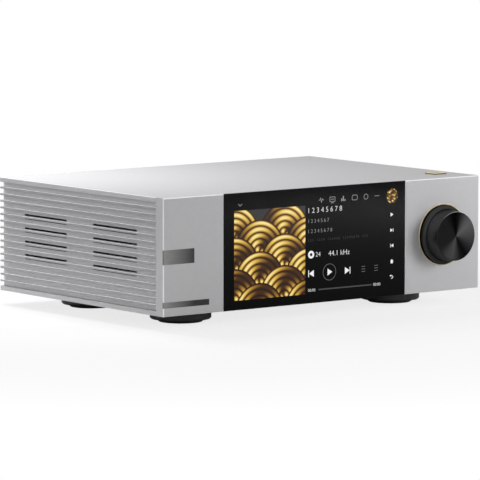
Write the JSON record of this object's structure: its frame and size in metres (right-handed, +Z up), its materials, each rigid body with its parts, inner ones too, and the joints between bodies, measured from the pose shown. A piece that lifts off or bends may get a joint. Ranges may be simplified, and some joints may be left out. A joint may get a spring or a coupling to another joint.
{
  "type": "network music streamer",
  "caption": "Flat aluminium network music streamer with a glass touch display, push-and-turn knob, finned sides, rear sockets and round feet.",
  "frame": {"origin": "middle of the whole object's footprint, on the plane the feet stand on", "axes": "+X to the right seen from the front, the front faces -Y, +Z up"},
  "size_m": [0.27, 0.2098, 0.0885],
  "materials": {
    "case_aluminium": "fine bead-blasted, clear anodised",
    "black_glass": "black back-printed glass",
    "display_black": "display module",
    "plated_steel": "zinc plated",
    "circuit_board": "solder mask",
    "cable_white": "flat flexible cable",
    "inlay_grey": "brushed, dark grey",
    "trim_gold": "satin gold",
    "foot_black": "satin black",
    "pad_rubber": "matt rubber",
    "screw_black": "black oxide",
    "heatsink_black": "black anodised",
    "transformer_wrap": "wound and wrapped core",
    "socket_black": "moulded black plastic",
    "contact_gold": "gold plated",
    "socket_metal": "nickel plated shell",
    "knob_black": "spun, black anodised",
    "fuse_glass": "ceramic body cartridge fuse"
  },
  "bodies": {
    "case": {"front_panel": "case_aluminium", "left_side_panel": "case_aluminium", "right_side_panel": "case_aluminium", "top_cover": "case_aluminium", "bottom_plate": "case_aluminium", "rear_panel": "case_aluminium", "corner_posts": "case_aluminium", "front_glass": "black_glass", "display_module": "display_black", "display_bracket": "plated_steel", "display_board": "circuit_board", "display_cable": "cable_white", "upper_inlay_plate": "inlay_grey", "lower_inlay_plate": "inlay_grey", "top_label": "trim_gold", "knob_trim_ring": "trim_gold", "encoder_body": "plated_steel", "encoder_nut": "plated_steel", "encoder_board": "circuit_board", "foot_front_left": "foot_black", "foot_front_right": "foot_black", "foot_rear_left": "foot_black", "foot_rear_right": "foot_black", "foot_pads": "pad_rubber", "foot_screws": "plated_steel", "case_screws": "screw_black", "ssd_hatch": "case_aluminium", "hatch_screw": "screw_black", "mainboard": "circuit_board", "processor_heatsink": "heatsink_black", "dac_board": "circuit_board", "dac_shield": "plated_steel", "power_board": "circuit_board", "transformer": "transformer_wrap", "transformer_bolt": "plated_steel", "board_supports": "plated_steel", "power_inlet": "socket_black", "xlr_left": "socket_black", "xlr_right": "socket_black", "rca_left": "contact_gold", "rca_right": "contact_gold", "coax_in": "contact_gold", "coax_out": "contact_gold", "optical_in_housing": "socket_black", "optical_out_housing": "socket_black", "usb_ports": "socket_metal", "usb_audio_port": "socket_metal", "lan_jack": "socket_metal", "hdmi_port": "socket_metal", "antenna_left": "contact_gold", "antenna_right": "contact_gold"},
    "encoder_rotor": {"encoder_rotor": "socket_black"},
    "knob": {"knob": "knob_black", "encoder_shaft": "plated_steel"},
    "power_rocker": {"power_rocker": "socket_black"},
    "fuse_drawer": {"fuse_drawer": "socket_black", "fuse": "fuse_glass"},
    "optical_in_shutter": {"optical_in_shutter": "socket_black"},
    "optical_out_shutter": {"optical_out_shutter": "socket_black"}
  },
  "joints": [
    {"name": "knob_turn", "type": "hinge", "parent": "case", "child": "encoder_rotor", "pos_m": [0.1024, -0.0906, 0.0488], "axis": [0, 1, 0], "continuous": true},
    {"name": "knob_press", "type": "slide", "parent": "encoder_rotor", "child": "knob", "axis": [0, 1, 0], "range_m": [0, 0.0005], "stiffness_N_per_m": 3000, "springref_m": -0.0003},
    {"name": "power_switch", "type": "hinge", "parent": "case", "child": "power_rocker", "pos_m": [-0.104, 0.0962, 0.06682], "axis": [-1, 0, 0], "range_deg": [0, 16]},
    {"name": "fuse_drawer_slide", "type": "slide", "parent": "case", "child": "fuse_drawer", "axis": [0, 1, 0], "range_m": [0, 0.021]},
    {"name": "optical_in_flap", "type": "hinge", "parent": "case", "child": "optical_in_shutter", "pos_m": [0.02973, 0.0939, 0.03], "axis": [-1, 0, 0], "range_deg": [0, 85], "stiffness_Nm_per_rad": 0.0002, "springref_deg": -17.19},
    {"name": "optical_out_flap", "type": "hinge", "parent": "case", "child": "optical_out_shutter", "pos_m": [0.04313, 0.0939, 0.03], "axis": [-1, 0, 0], "range_deg": [0, 85], "stiffness_Nm_per_rad": 0.0002, "springref_deg": -17.19}
  ]
}
